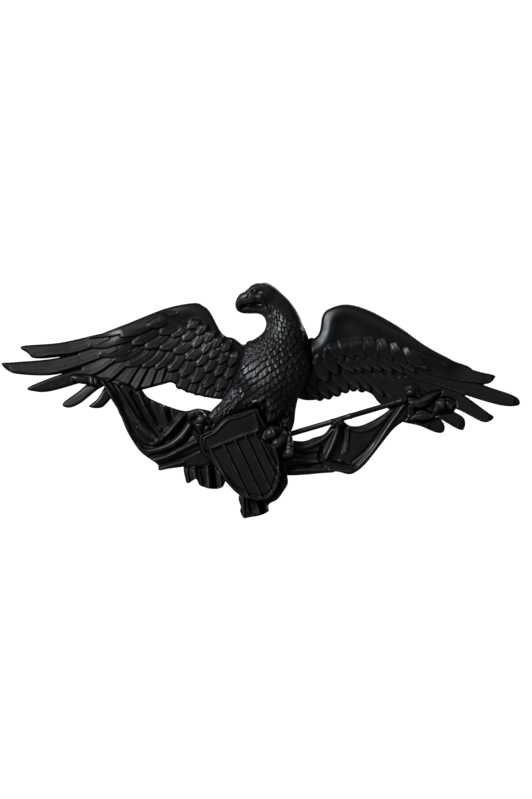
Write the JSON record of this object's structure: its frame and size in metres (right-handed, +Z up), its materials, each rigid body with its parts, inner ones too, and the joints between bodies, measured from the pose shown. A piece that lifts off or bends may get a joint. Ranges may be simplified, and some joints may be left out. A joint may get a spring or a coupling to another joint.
{
  "type": "cap badge",
  "caption": "Relief eagle cap badge with shield, draped flag and guidon, on a stay plate with screw posts, washers and knurled nuts.",
  "frame": {"origin": "midway between the two screw posts, on the rear face of the stay plate", "axes": "+X to the viewer's right along the wings, +Y out of the back along the posts, +Z up"},
  "size_m": [0.0748, 0.0158, 0.0341],
  "materials": {
    "black_paint": "satin",
    "back_brass": "satin",
    "post_brass": "satin",
    "washer_steel": "satin",
    "nut_brass": "satin"
  },
  "bodies": {
    "badge": {"stay_plate": "back_brass", "eagle_body": "black_paint", "wing_left": "black_paint", "wing_right": "black_paint", "foot_left": "black_paint", "foot_right": "black_paint", "shield": "black_paint", "shield_chief": "black_paint", "draped_flag": "black_paint", "draped_flag_spearhead": "black_paint", "flag_tail_left": "black_paint", "flag_tail_lower": "black_paint", "guidon": "black_paint", "guidon_staff": "black_paint", "guidon_spearhead": "black_paint", "guidon_tassels": "black_paint", "guidon_streamer": "black_paint", "rivets": "back_brass", "post_left": "post_brass", "post_right": "post_brass"},
    "left_washer": {"washer_left": "washer_steel"},
    "right_washer": {"washer_right": "washer_steel"},
    "left_nut": {"nut_left": "nut_brass"},
    "right_nut": {"nut_right": "nut_brass"}
  },
  "joints": [
    {"name": "left_washer_slide", "type": "slide", "parent": "badge", "child": "left_washer", "axis": [0, 1, 0], "range_m": [0, 0.0045]},
    {"name": "left_nut_turn", "type": "hinge", "parent": "left_washer", "child": "left_nut", "pos_m": [-0.012, 0, 0], "axis": [0, 1, 0], "range_deg": [0, 3260]},
    {"name": "right_washer_slide", "type": "slide", "parent": "badge", "child": "right_washer", "axis": [0, 1, 0], "range_m": [0, 0.0045]},
    {"name": "right_nut_turn", "type": "hinge", "parent": "right_washer", "child": "right_nut", "pos_m": [0.012, 0, 0], "axis": [0, 1, 0], "range_deg": [0, 3260]}
  ],
  "couplings": [
    {"joint": "left_nut_turn", "follows": "left_washer_slide", "rad_per_m": 12566},
    {"joint": "right_nut_turn", "follows": "right_washer_slide", "rad_per_m": 12566}
  ]
}
